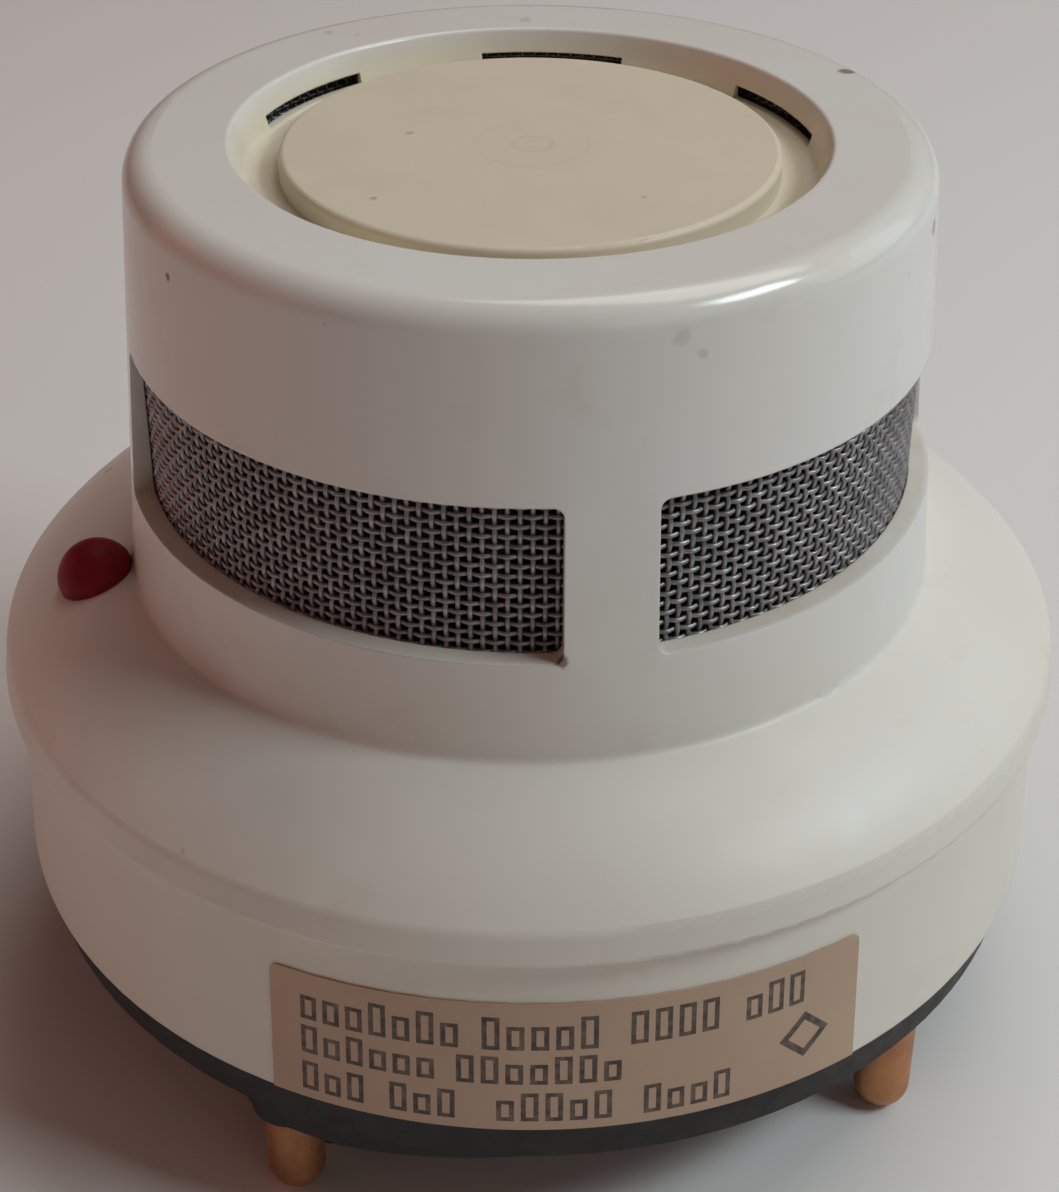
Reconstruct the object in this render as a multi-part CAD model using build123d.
from build123d import *
import math
import os

# A plug-in optical smoke detector head, in millimetres. +Z points from the contact feet to the sensing end.
# The origin is the centre of the plane through the tips of the contact feet, and -Y is the front.
# Angles are in degrees, measured from the front (-Y) towards +X.

# ---- driving dimensions --------------------------------------------------------------------------
TOTAL_HEIGHT = 72.4          # feet tips to top ring
CAP_RADIUS = 29.75           # cap, just under its rounded top edge
CAP_EDGE_ROUND = 2.3
NECK_FOOT_RADIUS = 31.7      # where the neck meets the skirt
NECK_FOOT_Z = 38.8
NECK_FOOT_ROUND = 0.6
LIP_RADIUS = 42.55           # before the lip's edge is rounded, which leaves a diameter of 85
LIP_TOP_Z = 32.7
LIP_BOTTOM_Z = 30.1
LIP_TOP_RADIUS = 42.2
LIP_TOP_ROUND = 1.3
LIP_EDGE_ROUND = 0.5
LIP_DROP = 0.25              # how far the lip's underside falls towards the rim
SKIRT_BULGE = 1.15           # height of the skirt's arc over its chord
RIM_TOP_RADIUS = 41.3
RIM_BOTTOM_RADIUS = 42.07
RIM_BOTTOM_Z = 14.7
WALL = 1.7
TOP_THICK = 1.4

RECESS_RADIUS = 22.0         # dished recess in the top ring
RECESS_FLOOR_RADIUS = 21.1
RECESS_FLOOR_Z = 69.5
RECESS_FLOOR_THICK = 1.4
RECESS_EDGE_ROUND = 0.35
RECESS_FLOOR_ROUND = 0.6
DISC_RADIUS = 18.45
DISC_TOP_Z = 71.3
DISC_EDGE_ROUND = 0.45
DISC_STEM_RADIUS = 4.0
VENT_COUNT = 6
VENT_WIDTH = 31.0            # degrees
VENT_FIRST_ANGLE = -15.0
VENT_HEIGHT = 1.05
VENT_SILL = 0.1              # height of the slots' lower edge over the recess floor
VENT_POCKET_WIDTH = 37.0     # degrees, of the pocket behind each slot

WINDOW_COUNT = 4
POST_WIDTH = 12.0            # degrees
WINDOW_LOW_Z = 46.7
WINDOW_HIGH_Z = 58.6
WINDOW_ROUND = 0.8
SCREEN_RADIUS = 29.65
SCREEN_THICK = 0.3
SCREEN_LOW_Z = 44.4
SCREEN_HIGH_Z = 61.0
VENT_SCREEN_RADIUS = 23.6
VENT_SCREEN_THICK = 0.25

LENS_RADIUS = 3.0
LENS_HEIGHT = 2.8
LENS_BRIM = 0.5              # upright part of the lens under its dome
LENS_ANGLE = -88.5
LENS_PLACE_RADIUS = 34.7
LIGHT_PIPE_RADIUS = 1.6
LIGHT_PIPE_LENGTH = 9.0

LABEL_FROM_ANGLE = -35.8
LABEL_TO_ANGLE = 23.9
LABEL_THICK = 0.12
LABEL_HIGH_Z = 26.1
LABEL_CORNER_ROUND = 0.7

BASE_BOTTOM_Z = 10.5
BASE_TOP_Z = 14.5
BASE_BOTTOM_RADIUS = 41.05
BASE_TOP_RADIUS = 41.2
BASE_PLATE = 2.2
BASE_EDGE_CHAMFER = 0.3
GROOVE_RADII = (20.0, 24.0)  # two shallow rings in the underside
GROOVE_WIDTH = 1.5
GROOVE_DEPTH = 0.8
NOTCH_WIDTH = 13.0           # degrees, of the gap in the upstand over each foot
UPSTAND_OUTER_RADIUS = 39.1
UPSTAND_INNER_RADIUS = 37.5
UPSTAND_TOP_Z = 20.4
SEAT_BOSS_RADIUS = 14.0
SEAT_BOSS_Z = 9.5

FOOT_ANGLES = (-38.0, 38.0, 142.0, -142.0)
FOOT_PLACE_RADIUS = 37.8
FOOT_RADIUS = 2.2
FOOT_TIP_ROUND = 2.15
FOOT_COLLAR_RADIUS = 2.45
FOOT_COLLAR_THICK = 0.7
RAMP_FEET = (-38.0, 142.0)    # feet that stand in a black boss, with a bayonet ramp beside it
RAMP_BOSS_RADIUS = 3.1
RAMP_BOTTOM_Z = 8.7
RAMP_INNER_RADIUS = 36.3
RAMP_OUTER_RADIUS = 40.6
RAMP_FROM = -3.8             # degrees from the foot
RAMP_LEVEL_FROM = -1.0
RAMP_LEVEL_TO = 8.0
RAMP_TO = 30.0
FOOT_SHANK_RADIUS = 1.5
RIVET_RADIUS = 1.9
RIVET_THICK = 1.0
STRIP_THICK = 0.5
STRIP_WIDTH = 4.0
STRIP_LOW_BEND_RADIUS = 33.5
STRIP_HIGH_BEND_RADIUS = 29.0
STRIP_END_RADIUS = 26.5
GUSSET_GAP = 1.2
GUSSET_TIP_Z = 0.5
GUSSET_INNER_RADIUS = 30.0
GUSSET_WIDTH = 4.4

BOARD_RADIUS = 36.4
BOARD_LOW_Z = 19.4
BOARD_THICK = 1.6
POST_PLACE_RADIUS = 28.4
POST_RADIUS = 3.4
SCREW_ANGLES = (0.0, 90.0, 180.0, -90.0)
SCREW_RADIUS = 1.1
SCREW_HOLE_RADIUS = 1.2
SCREW_HEAD_RADIUS = 2.2
SCREW_HEAD_THICK = 1.4
SCREW_RECESS_DEPTH = 1.8
SCREW_TOP_Z = 25.4
CROSS_LENGTH = 2.6
CROSS_WIDTH = 0.6
CROSS_DEPTH = 0.7

CARRIER_OUTER_RADIUS = 27.0
CARRIER_INNER_RADIUS = 25.4
LUG_RADIUS = 2.8
LUG_TOP_Z = 26.9
CHAMBER_FLOOR_Z = 44.0
CHAMBER_FLOOR_THICK = 1.8
CHAMBER_RADIUS = 27.2
VANE_COUNT = 24
VANE_TOP_Z = 58.4
LID_THICK = 1.6
LID_RIM_HEIGHT = 2.2
OPTICS_Z = 52.0              # height of the two optical axes
OPTICS_ANGLES = (-62.0, 62.0)
OPTICS_PLACE_RADIUS = 12.6
OPTICS_BORE_RADIUS = 2.6
EYE_RADIUS = 2.5
HOLDER_WIDTH = 8.0
HOLDER_DEPTH = 8.4
HOLDER_TOP_Z = 56.4

# ---- helpers -------------------------------------------------------------------------------------


def section(points):
    """A closed outline of (radius, height) points, in the plane through the axis and +X."""
    return Plane.XZ * make_face(Polyline(*points, close=True))


def turned(points, sweep=360.0):
    return revolve(section(points), Axis.Z, sweep)


def ring(inner, outer, low, high):
    return turned([(inner, low), (outer, low), (outer, high), (inner, high)])


def disc(radius, low, high):
    return Pos(0, 0, low) * extrude(Circle(radius), high - low)


def at_angle(angle, shape):
    """Turns a shape made at the front (-Y) to an angle."""
    return Rot(0, 0, angle) * shape


def arc_block(inner, outer, low, high, centre, width):
    """A piece of a ring, width degrees wide."""
    block = turned([(inner, low), (outer, low), (outer, high), (inner, high)], width)
    return Rot(0, 0, centre - 90 - width / 2) * block


def front_place(radius, height):
    """A place at the front of the object, at a distance from the axis."""
    return Pos(0, -radius, height)


def upright_rod(place_radius, radius, low, high):
    """An upright cylinder at the front of the object, place_radius from the axis."""
    return front_place(place_radius, low) * extrude(Circle(radius), high - low)


def round_corner(face, radius, height, size):
    """Rounds the corner of an axial section that is nearest to (radius, height)."""
    corner = face.vertices().sort_by_distance((radius, 0, height))[0]
    return fillet(corner, size)


def block(x, y, low, width, depth, height):
    return Pos(x, y, low + height / 2) * Box(width, depth, height)


# ---- the skirt's arc -----------------------------------------------------------------------------


def skirt_circle():
    """Centre (radius, height) and radius of the arc from the neck's foot to the lip."""
    chord_r = LIP_TOP_RADIUS - NECK_FOOT_RADIUS
    chord_z = LIP_TOP_Z - NECK_FOOT_Z
    chord = math.hypot(chord_r, chord_z)
    arc_radius = (chord * chord / 4 + SKIRT_BULGE * SKIRT_BULGE) / (2 * SKIRT_BULGE)
    depth = arc_radius - SKIRT_BULGE
    middle_r = (LIP_TOP_RADIUS + NECK_FOOT_RADIUS) / 2
    middle_z = (LIP_TOP_Z + NECK_FOOT_Z) / 2
    return middle_r + chord_z / chord * depth, middle_z - chord_r / chord * depth, arc_radius


SKIRT_CENTRE_RADIUS, SKIRT_CENTRE_Z, SKIRT_ARC_RADIUS = skirt_circle()


def skirt_height(radius, inset=0.0):
    """Height of the skirt at a distance from the axis, or of a surface that lies inset inside it."""
    along = radius - SKIRT_CENTRE_RADIUS
    return SKIRT_CENTRE_Z + math.sqrt((SKIRT_ARC_RADIUS - inset) ** 2 - along ** 2)


def lens_plane():
    """The plane on the skirt that the indicator lens stands on, at the front of the object."""
    tilt = math.asin((LENS_PLACE_RADIUS - SKIRT_CENTRE_RADIUS) / SKIRT_ARC_RADIUS)
    height = skirt_height(LENS_PLACE_RADIUS)
    outwards = (0, -math.sin(tilt), math.cos(tilt))
    return Plane(origin=(0, -LENS_PLACE_RADIUS, height), x_dir=(1, 0, 0), z_dir=outwards)


# ---- cover ---------------------------------------------------------------------------------------


def cover_section():
    """One moulding: top ring with its dished recess, cap, neck, skirt, lip and rim."""
    middle = (LIP_TOP_RADIUS + NECK_FOOT_RADIUS) / 2
    inner_foot = NECK_FOOT_RADIUS - WALL
    inner_lip = RIM_TOP_RADIUS - WALL
    inner_middle = (inner_foot + inner_lip) / 2
    top_under = TOTAL_HEIGHT - TOP_THICK
    floor_under = RECESS_FLOOR_Z - RECESS_FLOOR_THICK
    outside = Polyline(
        (DISC_STEM_RADIUS, floor_under),
        (DISC_STEM_RADIUS, RECESS_FLOOR_Z),
        (RECESS_FLOOR_RADIUS, RECESS_FLOOR_Z),
        (RECESS_RADIUS, TOTAL_HEIGHT),
        (CAP_RADIUS - 0.15, TOTAL_HEIGHT),
        (NECK_FOOT_RADIUS, NECK_FOOT_Z),
    )
    skirt = ThreePointArc(
        (NECK_FOOT_RADIUS, NECK_FOOT_Z),
        (middle, skirt_height(middle)),
        (LIP_TOP_RADIUS, LIP_TOP_Z),
    )
    rim = Polyline(
        (LIP_TOP_RADIUS, LIP_TOP_Z),
        (LIP_RADIUS, LIP_BOTTOM_Z),
        (RIM_TOP_RADIUS, LIP_BOTTOM_Z - LIP_DROP),
        (RIM_BOTTOM_RADIUS, RIM_BOTTOM_Z),
        (RIM_BOTTOM_RADIUS - WALL, RIM_BOTTOM_Z),
        (inner_lip, skirt_height(inner_lip, WALL)),
    )
    skirt_inside = ThreePointArc(
        (inner_lip, skirt_height(inner_lip, WALL)),
        (inner_middle, skirt_height(inner_middle, WALL)),
        (inner_foot, skirt_height(inner_foot, WALL)),
    )
    inside = Polyline(
        (inner_foot, skirt_height(inner_foot, WALL)),
        (inner_foot, SCREEN_LOW_Z),
        (SCREEN_RADIUS, SCREEN_LOW_Z),
        (SCREEN_RADIUS, SCREEN_HIGH_Z),
        (CAP_RADIUS - 1.5, top_under),
        (VENT_SCREEN_RADIUS - VENT_SCREEN_THICK, top_under),
        (RECESS_FLOOR_RADIUS + 1.2, floor_under),
        (DISC_STEM_RADIUS, floor_under),
    )
    face = Plane.XZ * make_face(outside + skirt + rim + skirt_inside + inside)
    face = round_corner(face, CAP_RADIUS, TOTAL_HEIGHT, CAP_EDGE_ROUND)
    face = round_corner(face, RECESS_RADIUS, TOTAL_HEIGHT, RECESS_EDGE_ROUND)
    face = round_corner(face, RECESS_FLOOR_RADIUS, RECESS_FLOOR_Z, RECESS_FLOOR_ROUND)
    face = round_corner(face, LIP_TOP_RADIUS, LIP_TOP_Z, LIP_TOP_ROUND)
    face = round_corner(face, LIP_RADIUS, LIP_BOTTOM_Z, LIP_EDGE_ROUND)
    face = round_corner(face, NECK_FOOT_RADIUS, NECK_FOOT_Z, NECK_FOOT_ROUND)
    return face


def window(centre):
    """The cutter for one window between two posts, with small rounds in its corners."""
    width = 360.0 / WINDOW_COUNT - POST_WIDTH
    cutter = arc_block(SCREEN_RADIUS - 1, LIP_RADIUS, WINDOW_LOW_Z, WINDOW_HIGH_Z, centre, width)
    flat_lines = [e for e in cutter.edges().filter_by(GeomType.LINE) if abs((e @ 0).Z - (e @ 1).Z) < 0.01]
    return fillet(flat_lines, WINDOW_ROUND)


def vent(centre):
    """The cutter for one slot in the recess wall, with a pocket behind it that drops into the cap."""
    top = RECESS_FLOOR_Z + VENT_HEIGHT
    low = RECESS_FLOOR_Z + VENT_SILL
    reach = VENT_SCREEN_RADIUS + 1.0
    slot = arc_block(RECESS_FLOOR_RADIUS - 0.5, reach, low, top, centre, VENT_WIDTH)
    pocket_low = RECESS_FLOOR_Z - RECESS_FLOOR_THICK - 0.6
    pocket = arc_block(RECESS_FLOOR_RADIUS + 0.6, reach, pocket_low, top, centre, VENT_POCKET_WIDTH)
    return slot + pocket


def outer_cover():
    shell = revolve(cover_section(), Axis.Z)
    for k in range(WINDOW_COUNT):
        shell = shell - window(360.0 / WINDOW_COUNT * (k + 0.5))
    for k in range(VENT_COUNT):
        shell = shell - vent(VENT_FIRST_ANGLE + 360.0 / VENT_COUNT * k)
    lens_hole = lens_plane() * Pos(0, 0, -4) * extrude(Circle(LENS_RADIUS), 8)
    return shell - at_angle(LENS_ANGLE, lens_hole)


def centre_disc():
    face = section([
        (0, RECESS_FLOOR_Z - RECESS_FLOOR_THICK),
        (DISC_STEM_RADIUS, RECESS_FLOOR_Z - RECESS_FLOOR_THICK),
        (DISC_STEM_RADIUS, RECESS_FLOOR_Z),
        (DISC_RADIUS, RECESS_FLOOR_Z),
        (DISC_RADIUS, DISC_TOP_Z),
        (0, DISC_TOP_Z),
    ])
    return revolve(round_corner(face, DISC_RADIUS, DISC_TOP_Z, DISC_EDGE_ROUND), Axis.Z)


def insect_screen():
    return ring(SCREEN_RADIUS - SCREEN_THICK, SCREEN_RADIUS, SCREEN_LOW_Z, SCREEN_HIGH_Z)


def vent_screen():
    low = RECESS_FLOOR_Z - RECESS_FLOOR_THICK
    high = TOTAL_HEIGHT - TOP_THICK
    return ring(VENT_SCREEN_RADIUS - VENT_SCREEN_THICK, VENT_SCREEN_RADIUS, low, high)


def screen_retainer():
    """The ring that holds the lower edge of the insect screen up against its step."""
    return ring(CHAMBER_RADIUS + 0.7, NECK_FOOT_RADIUS - WALL, SCREEN_LOW_Z - 1.6, SCREEN_LOW_Z)


def led_lens():
    """A domed lens on the skirt, with a light pipe that runs down towards the indicator LED."""
    crown = LENS_HEIGHT - LENS_BRIM
    dome_radius = (LENS_RADIUS ** 2 + crown ** 2) / (2 * crown)
    shoulder = LENS_RADIUS * 0.6
    shoulder_height = LENS_HEIGHT - dome_radius + math.sqrt(dome_radius ** 2 - shoulder ** 2)
    face = make_face(
        Polyline(
            (0, LENS_HEIGHT),
            (0, -LIGHT_PIPE_LENGTH),
            (LIGHT_PIPE_RADIUS, -LIGHT_PIPE_LENGTH),
            (LIGHT_PIPE_RADIUS, -WALL - 0.4),
            (LENS_RADIUS, -WALL - 0.4),
            (LENS_RADIUS, LENS_BRIM),
        )
        + ThreePointArc((LENS_RADIUS, LENS_BRIM), (shoulder, shoulder_height), (0, LENS_HEIGHT))
    )
    upright = revolve(Plane.XZ * face, Axis.Z)
    return at_angle(LENS_ANGLE, lens_plane() * upright)


def rating_label():
    slope = (RIM_TOP_RADIUS - RIM_BOTTOM_RADIUS) / (LIP_BOTTOM_Z - LIP_DROP - RIM_BOTTOM_Z)
    high_radius = RIM_BOTTOM_RADIUS + slope * (LABEL_HIGH_Z - RIM_BOTTOM_Z)
    width = LABEL_TO_ANGLE - LABEL_FROM_ANGLE
    strip = turned([
        (RIM_BOTTOM_RADIUS, RIM_BOTTOM_Z),
        (RIM_BOTTOM_RADIUS + LABEL_THICK, RIM_BOTTOM_Z),
        (high_radius + LABEL_THICK, LABEL_HIGH_Z),
        (high_radius, LABEL_HIGH_Z),
    ], width)
    ends = strip.edges().filter_by(lambda edge: edge.length < 2 * LABEL_THICK)
    strip = fillet(ends.group_by(Axis.Z)[-1], LABEL_CORNER_ROUND)
    return Rot(0, 0, LABEL_FROM_ANGLE - 90) * strip


# ---- base ----------------------------------------------------------------------------------------


def gusset():
    """The plastic fin that backs a contact foot on its inner side, with a round lower end."""
    outer = FOOT_PLACE_RADIUS - FOOT_RADIUS - GUSSET_GAP
    side = make_face(Polyline(
        (GUSSET_INNER_RADIUS, BASE_BOTTOM_Z + 0.5),
        (outer, BASE_BOTTOM_Z + 0.5),
        (outer, GUSSET_TIP_Z),
        (outer - 1.2, GUSSET_TIP_Z),
        close=True,
    ))
    half = GUSSET_WIDTH / 2
    end = Pos(0, GUSSET_TIP_Z + half) * Circle(half)
    end = end + Pos(0, GUSSET_TIP_Z + half + BASE_BOTTOM_Z / 2) * Rectangle(GUSSET_WIDTH, BASE_BOTTOM_Z)
    fin = extrude(Plane.YZ * Rot(0, 180, 0) * side, GUSSET_WIDTH, both=True)
    return fin & extrude(Plane.XZ * end, FOOT_PLACE_RADIUS)


def bayonet_ramp():
    """The boss round a foot, and an arc beside it whose underside climbs back to the base."""
    high = BASE_BOTTOM_Z + 0.5
    centre = (RAMP_FROM + RAMP_TO) / 2
    arc = arc_block(RAMP_INNER_RADIUS, RAMP_OUTER_RADIUS, RAMP_BOTTOM_Z, high, centre, RAMP_TO - RAMP_FROM)
    arc = arc - at_angle(RAMP_LEVEL_TO, ramp_cutter(RAMP_TO - RAMP_LEVEL_TO, 1))
    arc = arc - at_angle(RAMP_LEVEL_FROM, ramp_cutter(RAMP_LEVEL_FROM - RAMP_FROM, -1))
    return arc + upright_rod(FOOT_PLACE_RADIUS, RAMP_BOSS_RADIUS, RAMP_BOTTOM_Z, high)


def ramp_cutter(span, way):
    """A block whose top slopes up from the ramp's underside to the base's, over span degrees.
    way is 1 towards +X and -1 towards -X."""
    run = RAMP_OUTER_RADIUS * math.sin(math.radians(span))
    slope = math.degrees(math.atan2(BASE_BOTTOM_Z - RAMP_BOTTOM_Z, run))
    cutter = Pos(way * 15, 0, -5) * Box(30, 12, 10)
    return front_place(FOOT_PLACE_RADIUS, RAMP_BOTTOM_Z) * Rot(0, -way * slope, 0) * cutter


def base_moulding():
    plate_top = BASE_BOTTOM_Z + BASE_PLATE
    shape = turned([
        (0, SEAT_BOSS_Z),
        (SEAT_BOSS_RADIUS, SEAT_BOSS_Z),
        (SEAT_BOSS_RADIUS + 0.4, BASE_BOTTOM_Z),
        (BASE_BOTTOM_RADIUS - BASE_EDGE_CHAMFER, BASE_BOTTOM_Z),
        (BASE_BOTTOM_RADIUS, BASE_BOTTOM_Z + BASE_EDGE_CHAMFER),
        (BASE_TOP_RADIUS, BASE_TOP_Z),
        (UPSTAND_OUTER_RADIUS, BASE_TOP_Z),
        (UPSTAND_OUTER_RADIUS, UPSTAND_TOP_Z),
        (UPSTAND_INNER_RADIUS, UPSTAND_TOP_Z),
        (UPSTAND_INNER_RADIUS, plate_top),
        (0, plate_top),
    ])
    groove_top = BASE_BOTTOM_Z + GROOVE_DEPTH
    for inner in GROOVE_RADII:
        shape = shape - ring(inner, inner + GROOVE_WIDTH, BASE_BOTTOM_Z - 0.1, groove_top)
    for angle in FOOT_ANGLES:
        notch = (UPSTAND_INNER_RADIUS - 2, BASE_TOP_RADIUS - 0.9, plate_top, UPSTAND_TOP_Z + 1)
        shape = shape - arc_block(*notch, angle, NOTCH_WIDTH)
        shape = shape + at_angle(angle, gusset())
        if angle in RAMP_FEET:
            shape = shape + at_angle(angle, bayonet_ramp())
        hole = upright_rod(FOOT_PLACE_RADIUS, FOOT_SHANK_RADIUS, RAMP_BOTTOM_Z - 1, plate_top + 1)
        shape = shape - at_angle(angle, hole)
    for angle in SCREW_ANGLES:
        post = upright_rod(POST_PLACE_RADIUS, POST_RADIUS, BASE_BOTTOM_Z, BOARD_LOW_Z)
        recess_top = BASE_BOTTOM_Z + SCREW_RECESS_DEPTH
        recess = upright_rod(POST_PLACE_RADIUS, SCREW_HEAD_RADIUS + 0.3, BASE_BOTTOM_Z - 1, recess_top)
        hole = upright_rod(POST_PLACE_RADIUS, SCREW_HOLE_RADIUS, BASE_BOTTOM_Z, BOARD_LOW_Z + 1)
        shape = shape + at_angle(angle, post)
        shape = shape - at_angle(angle, recess) - at_angle(angle, hole)
    return shape


def contact_foot(angle):
    """A riveted stud: rounded tip, thin collar at its shoulder, and rivet head over the contact spring."""
    shoulder = RAMP_BOTTOM_Z if angle in RAMP_FEET else BASE_BOTTOM_Z
    rivet_low = BASE_BOTTOM_Z + BASE_PLATE + STRIP_THICK
    face = section([
        (0, 0),
        (FOOT_RADIUS, 0),
        (FOOT_RADIUS, shoulder - FOOT_COLLAR_THICK),
        (FOOT_COLLAR_RADIUS, shoulder - FOOT_COLLAR_THICK + 0.15),
        (FOOT_COLLAR_RADIUS, shoulder),
        (FOOT_SHANK_RADIUS, shoulder),
        (FOOT_SHANK_RADIUS, rivet_low),
        (RIVET_RADIUS, rivet_low),
        (RIVET_RADIUS, rivet_low + RIVET_THICK),
        (0, rivet_low + RIVET_THICK),
    ])
    face = round_corner(face, FOOT_RADIUS, 0, FOOT_TIP_ROUND)
    return at_angle(angle, front_place(FOOT_PLACE_RADIUS, 0) * revolve(face, Axis.Z))


def contact_spring(angle):
    """A bent strip from a foot's rivet to its pad under the board."""
    low = BASE_BOTTOM_Z + BASE_PLATE
    high = BOARD_LOW_Z
    side = make_face(Polyline(
        (FOOT_PLACE_RADIUS + 2.0, low),
        (FOOT_PLACE_RADIUS + 2.0, low + STRIP_THICK),
        (STRIP_LOW_BEND_RADIUS + 0.1, low + STRIP_THICK),
        (STRIP_HIGH_BEND_RADIUS + 0.2, high),
        (STRIP_END_RADIUS, high),
        (STRIP_END_RADIUS, high - STRIP_THICK),
        (STRIP_HIGH_BEND_RADIUS - 0.2, high - STRIP_THICK),
        (STRIP_LOW_BEND_RADIUS - 0.1, low),
        close=True,
    ))
    strip = extrude(Plane.YZ * Rot(0, 180, 0) * side, STRIP_WIDTH / 2, both=True)
    hole = upright_rod(FOOT_PLACE_RADIUS, FOOT_SHANK_RADIUS, low - 1, low + 2)
    return at_angle(angle, strip - hole)


# ---- electronics ---------------------------------------------------------------------------------

BOARD_TOP_Z = BOARD_LOW_Z + BOARD_THICK


def circuit_board():
    board = disc(BOARD_RADIUS, BOARD_LOW_Z, BOARD_TOP_Z)
    for angle in SCREW_ANGLES:
        hole = upright_rod(POST_PLACE_RADIUS, SCREW_HOLE_RADIUS, BOARD_LOW_Z - 1, BOARD_TOP_Z + 1)
        board = board - at_angle(angle, hole)
    return board


def board_screws():
    """Four identical screws, from the underside of the base into the lugs of the chamber carrier."""
    head_high = BASE_BOTTOM_Z + SCREW_RECESS_DEPTH
    head_low = head_high - SCREW_HEAD_THICK
    screws = []
    for angle in SCREW_ANGLES:
        head = upright_rod(POST_PLACE_RADIUS, SCREW_HEAD_RADIUS, head_low, head_high)
        shank = upright_rod(POST_PLACE_RADIUS, SCREW_RADIUS, head_high, SCREW_TOP_Z)
        one_way = Box(CROSS_LENGTH, CROSS_WIDTH, 2 * CROSS_DEPTH)
        other_way = Box(CROSS_WIDTH, CROSS_LENGTH, 2 * CROSS_DEPTH)
        cross = front_place(POST_PLACE_RADIUS, head_low) * (one_way + other_way)
        screws.append(at_angle(angle, head + shank - cross))
    return Compound(children=[screw.solid() for screw in screws])


def chip(x, y, width, depth, height, legs):
    """A small-outline package: a body with bent legs along two sides."""
    body = block(x, y, BOARD_TOP_Z + 0.2, width, depth, height)
    pitch = depth / legs
    for k in range(legs):
        leg_y = y - depth / 2 + pitch * (k + 0.5)
        body = body + block(x, leg_y, BOARD_TOP_Z, width + 2.0, pitch * 0.4, 0.5)
    return body


def electrolytic_capacitor():
    return Pos(6, 14, BOARD_TOP_Z) * extrude(Circle(4.0), 11.0)


def tantalum_capacitor():
    return block(-15, 8, BOARD_TOP_Z, 6.0, 3.2, 2.6)


def diode_bridge():
    return block(-12, -12, BOARD_TOP_Z, 6.5, 6.5, 2.5)


def transistor():
    return block(14, -10, BOARD_TOP_Z, 4.5, 4.0, 1.8)


def board_row(count, radius, first_angle, step, width, depth, height):
    """Identical small parts in an arc on the board, as one group of separate solids."""
    made = []
    for k in range(count):
        made.append(at_angle(first_angle + step * k, block(0, -radius, BOARD_TOP_Z, width, depth, height)))
    return Compound(children=[one.solid() for one in made])


def shield_can():
    """A folded tinned-steel can over the receiver's amplifier."""
    can = block(12, 2, BOARD_TOP_Z, 13.0, 11.0, 6.0)
    return can - block(12, 2, BOARD_TOP_Z, 12.2, 10.2, 5.6)


def indicator_led():
    body = Pos(0, -33.2, BOARD_TOP_Z) * (extrude(Circle(1.5), 3.8) + Pos(0, 0, 3.8) * Sphere(1.5))
    return at_angle(LENS_ANGLE, body)


# ---- optical chamber -----------------------------------------------------------------------------


def chamber_carrier():
    """The tube that carries the chamber over the board, with four lugs that the screws go into."""
    shape = ring(CARRIER_INNER_RADIUS, CARRIER_OUTER_RADIUS, BOARD_TOP_Z, CHAMBER_FLOOR_Z)
    for angle in SCREW_ANGLES:
        lug = upright_rod(POST_PLACE_RADIUS, LUG_RADIUS, BOARD_TOP_Z, LUG_TOP_Z)
        hole = upright_rod(POST_PLACE_RADIUS, SCREW_RADIUS, BOARD_TOP_Z - 1, SCREW_TOP_Z + 0.4)
        shape = shape + at_angle(angle, lug)
        shape = shape - at_angle(angle, hole)
    return shape


def vane():
    """One bent vane of the labyrinth, which lets smoke in and keeps light out."""
    corners = [(26.4, -2.2), (23.0, 6.5), (19.6, -2.2), (19.6, 0.6), (23.0, 9.3), (26.4, 0.6)]
    points = []
    for radius, angle in corners:
        turn = math.radians(angle)
        points.append((radius * math.sin(turn), -radius * math.cos(turn)))
    low = CHAMBER_FLOOR_Z + CHAMBER_FLOOR_THICK
    return Pos(0, 0, low) * extrude(make_face(Polyline(*points, close=True)), VANE_TOP_Z - low)


def optics_bore(angle, radius, near, far):
    """A radial cylinder on an optical axis, between two distances from the centre."""
    axis = Plane(origin=(0, -near, OPTICS_Z), x_dir=(1, 0, 0), z_dir=(0, -1, 0))
    return at_angle(angle, axis * extrude(Circle(radius), far - near))


def labyrinth():
    """Chamber floor, vanes and the two optics holders, in one black moulding."""
    floor_top = CHAMBER_FLOOR_Z + CHAMBER_FLOOR_THICK
    shape = disc(CHAMBER_RADIUS, CHAMBER_FLOOR_Z, floor_top)
    for k in range(VANE_COUNT):
        shape = shape + at_angle(360.0 / VANE_COUNT * k, vane())
    height = HOLDER_TOP_Z - floor_top
    for angle in OPTICS_ANGLES:
        holder = block(0, -OPTICS_PLACE_RADIUS, floor_top, HOLDER_WIDTH, HOLDER_DEPTH, height)
        shape = shape + at_angle(angle, holder)
        seat = OPTICS_PLACE_RADIUS - 3.2
        shape = shape - optics_bore(angle, OPTICS_BORE_RADIUS, seat, OPTICS_PLACE_RADIUS + 6)
        shape = shape - optics_bore(angle, 1.5, OPTICS_PLACE_RADIUS - 6, OPTICS_PLACE_RADIUS)
    return shape


def light_baffle():
    """The wedge that hides the receiver from the emitter's direct light."""
    floor_top = CHAMBER_FLOOR_Z + CHAMBER_FLOOR_THICK
    outline = make_face(Polyline((-1.8, -14.5), (1.8, -14.5), (0.6, -6.0), (-0.6, -6.0), close=True))
    return Pos(0, 0, floor_top) * extrude(outline, HOLDER_TOP_Z - floor_top)


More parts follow.
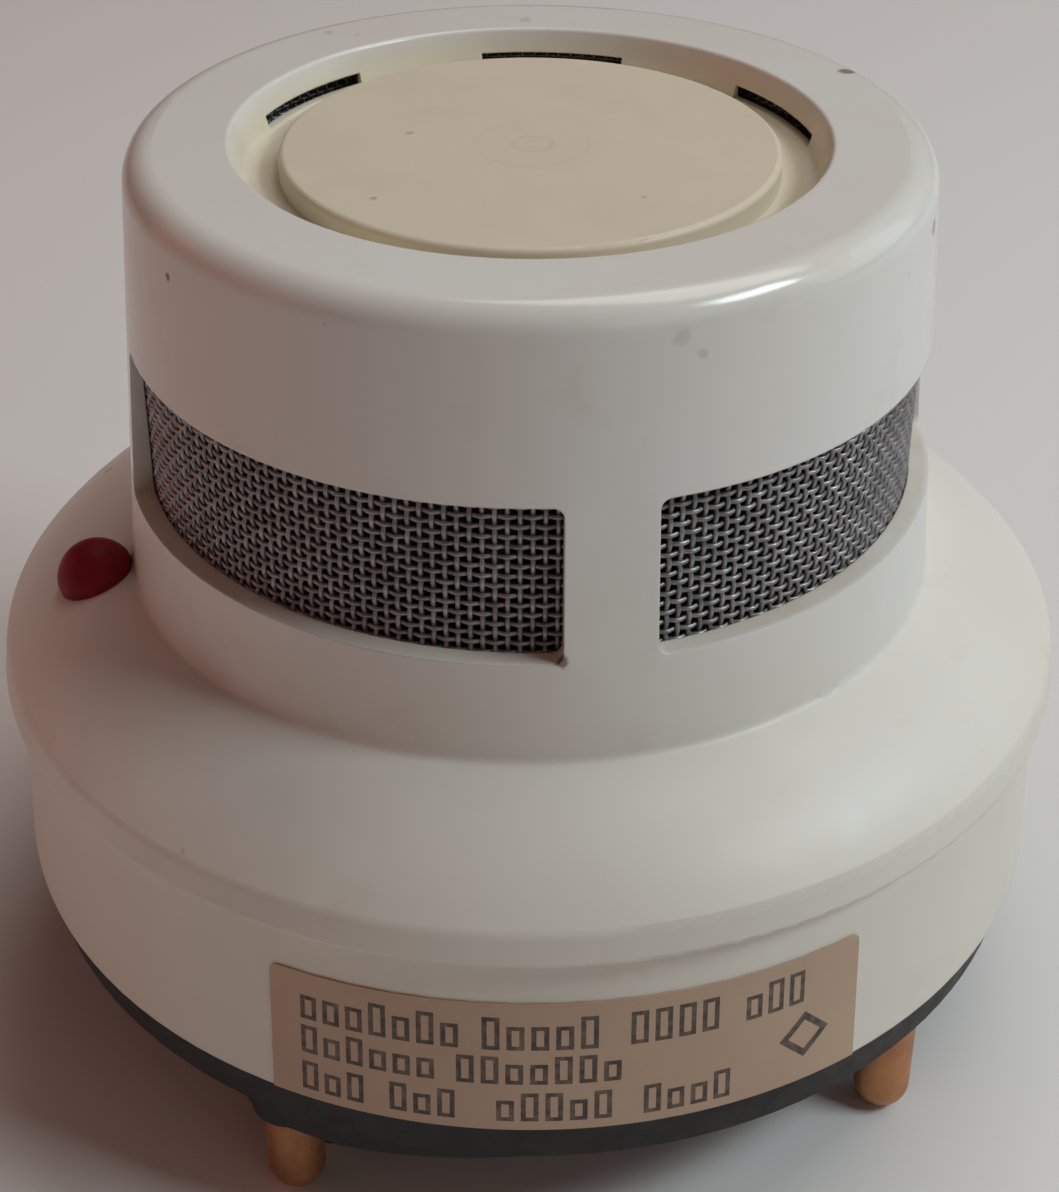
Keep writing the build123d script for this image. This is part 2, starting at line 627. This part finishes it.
def eye(angle):
    """A domed optical package in its holder, looking at the chamber's centre."""
    near = OPTICS_PLACE_RADIUS - 3.0
    body = optics_bore(angle, EYE_RADIUS, near + EYE_RADIUS, near + 7.0)
    tip_centre = at_angle(angle, front_place(near + EYE_RADIUS, OPTICS_Z) * Sphere(EYE_RADIUS))
    return body + tip_centre


def chamber_lid():
    """A shallow dish that closes the chamber, with a stiffening rim and a hub."""
    low = VANE_TOP_Z
    high = low + LID_THICK
    return turned([
        (0, low),
        (CHAMBER_RADIUS, low),
        (CHAMBER_RADIUS, high + LID_RIM_HEIGHT),
        (CHAMBER_RADIUS - 1.4, high + LID_RIM_HEIGHT),
        (CHAMBER_RADIUS - 1.4, high),
        (6.0, high),
        (5.0, high + LID_RIM_HEIGHT),
        (0, high + LID_RIM_HEIGHT),
    ])


# ---- all nodes -----------------------------------------------------------------------------------

nodes = {
    "outer_cover": outer_cover(),
    "centre_disc": centre_disc(),
    "insect_screen": insect_screen(),
    "vent_screen": vent_screen(),
    "screen_retainer": screen_retainer(),
    "led_lens": led_lens(),
    "rating_label": rating_label(),
    "base_moulding": base_moulding(),
    "circuit_board": circuit_board(),
    "board_screws": board_screws(),
    "microcontroller": chip(-3, -4, 7.5, 12.0, 2.2, 8),
    "amplifier_chip": chip(12, 2, 4.0, 5.0, 1.5, 4),
    "electrolytic_capacitor": electrolytic_capacitor(),
    "tantalum_capacitor": tantalum_capacitor(),
    "ceramic_capacitors": board_row(5, 32.5, 10.0, 9.0, 1.6, 3.0, 1.4),
    "resistors": board_row(7, 32.5, 118.0, 8.0, 1.4, 2.8, 0.7),
    "diode_bridge": diode_bridge(),
    "transistor": transistor(),
    "shield_can": shield_can(),
    "indicator_led": indicator_led(),
    "chamber_carrier": chamber_carrier(),
    "labyrinth": labyrinth(),
    "light_baffle": light_baffle(),
    "infrared_emitter": eye(OPTICS_ANGLES[0]),
    "photodiode": eye(OPTICS_ANGLES[1]),
    "chamber_lid": chamber_lid(),
}
for number, foot_angle in enumerate(FOOT_ANGLES, start=1):
    nodes[f"contact_foot_{number}"] = contact_foot(foot_angle)
    nodes[f"contact_spring_{number}"] = contact_spring(foot_angle)

os.makedirs("parts", exist_ok=True)
for name, shape in nodes.items():
    export_step(shape, f"parts/{name}.step")
